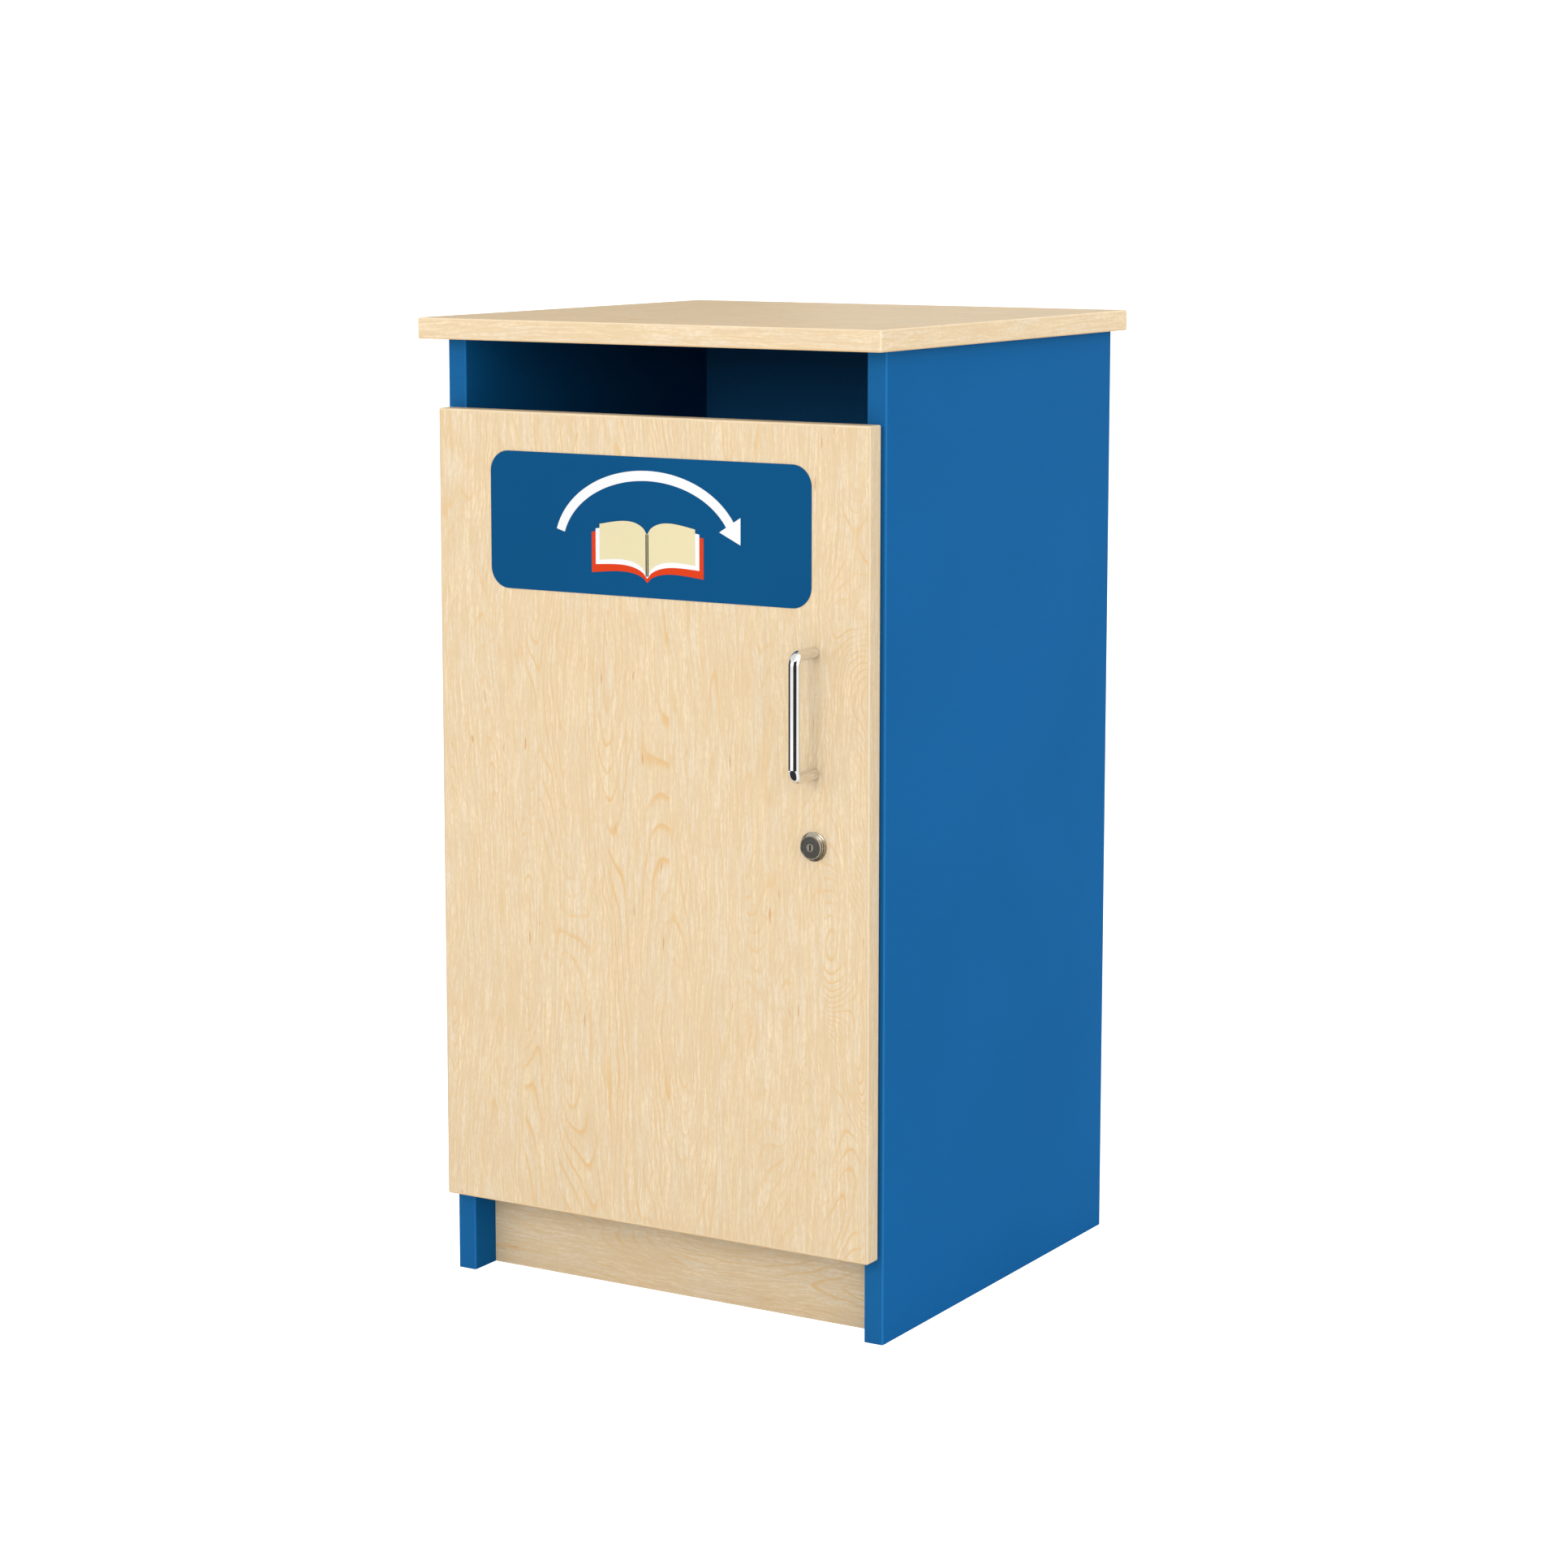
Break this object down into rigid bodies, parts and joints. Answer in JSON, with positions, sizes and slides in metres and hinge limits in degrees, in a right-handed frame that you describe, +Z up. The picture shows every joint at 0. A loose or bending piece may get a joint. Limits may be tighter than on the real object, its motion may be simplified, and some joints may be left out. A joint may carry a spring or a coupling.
{
  "type": "book drop box",
  "caption": "Board book return cabinet with a deposit slot under its overhanging top, a lockable hinged front door with a bar handle, and a pictogram label.",
  "frame": {"origin": "on the floor, under the centre of the whole box including the handle", "axes": "+X to the right seen from the front, +Y to the back, +Z up"},
  "size_m": [0.452, 0.478, 0.84],
  "materials": {
    "blue_board": "fine-textured melamine facing, deep blue",
    "blue_edging": "satin ABS edging strip, deep blue",
    "maple_board": "fine-textured melamine facing, pale maple figure",
    "maple_edging": "satin ABS edging strip, pale maple",
    "label": "printed film, semi-gloss",
    "chrome": "polished plating",
    "nickel": "satin nickel plating",
    "zinc_steel": "bright zinc-plated steel",
    "die_cast": "zinc die casting, plain",
    "beech": "fluted beech dowel",
    "soft_pad": "translucent soft bumper"
  },
  "bodies": {
    "carcass": {"dowels": "beech", "cam_bolts": "zinc_steel", "cam_discs": "die_cast", "hinge_arms": "nickel", "hinge_plates": "nickel", "arm_screws": "zinc_steel", "plate_screws": "zinc_steel", "lock_keep": "zinc_steel", "keep_screws": "zinc_steel", "back_panel": "blue_board", "left_side_panel": "blue_board", "left_side_edging": "blue_edging", "right_side_panel": "blue_board", "right_side_edging": "blue_edging", "top_panel": "maple_board", "top_edging": "maple_edging", "base_panel": "blue_board", "base_edging": "blue_edging", "plinth_board": "maple_board", "rear_rail": "blue_board"},
    "door": {"door_panel": "maple_board", "door_edging": "maple_edging", "sign_label": "label", "door_buffers": "soft_pad", "handle": "chrome", "handle_screws": "zinc_steel", "hinge_cups": "nickel", "hinge_pins": "zinc_steel", "cup_screws": "zinc_steel", "lock_body": "nickel", "lock_nut": "die_cast"},
    "lock_rotor": {"lock_plug": "nickel", "lock_cam": "zinc_steel", "cam_screw": "zinc_steel"}
  },
  "joints": [
    {"name": "door_swing", "type": "hinge", "parent": "carcass", "child": "door", "pos_m": [-0.2046, -0.1937, 0.418], "axis": [0, 0, -1], "range_deg": [0, 95]},
    {"name": "lock_turn", "type": "hinge", "parent": "door", "child": "lock_rotor", "pos_m": [0.16, -0.202, 0.418], "axis": [0, -1, 0], "range_deg": [0, 90]}
  ]
}
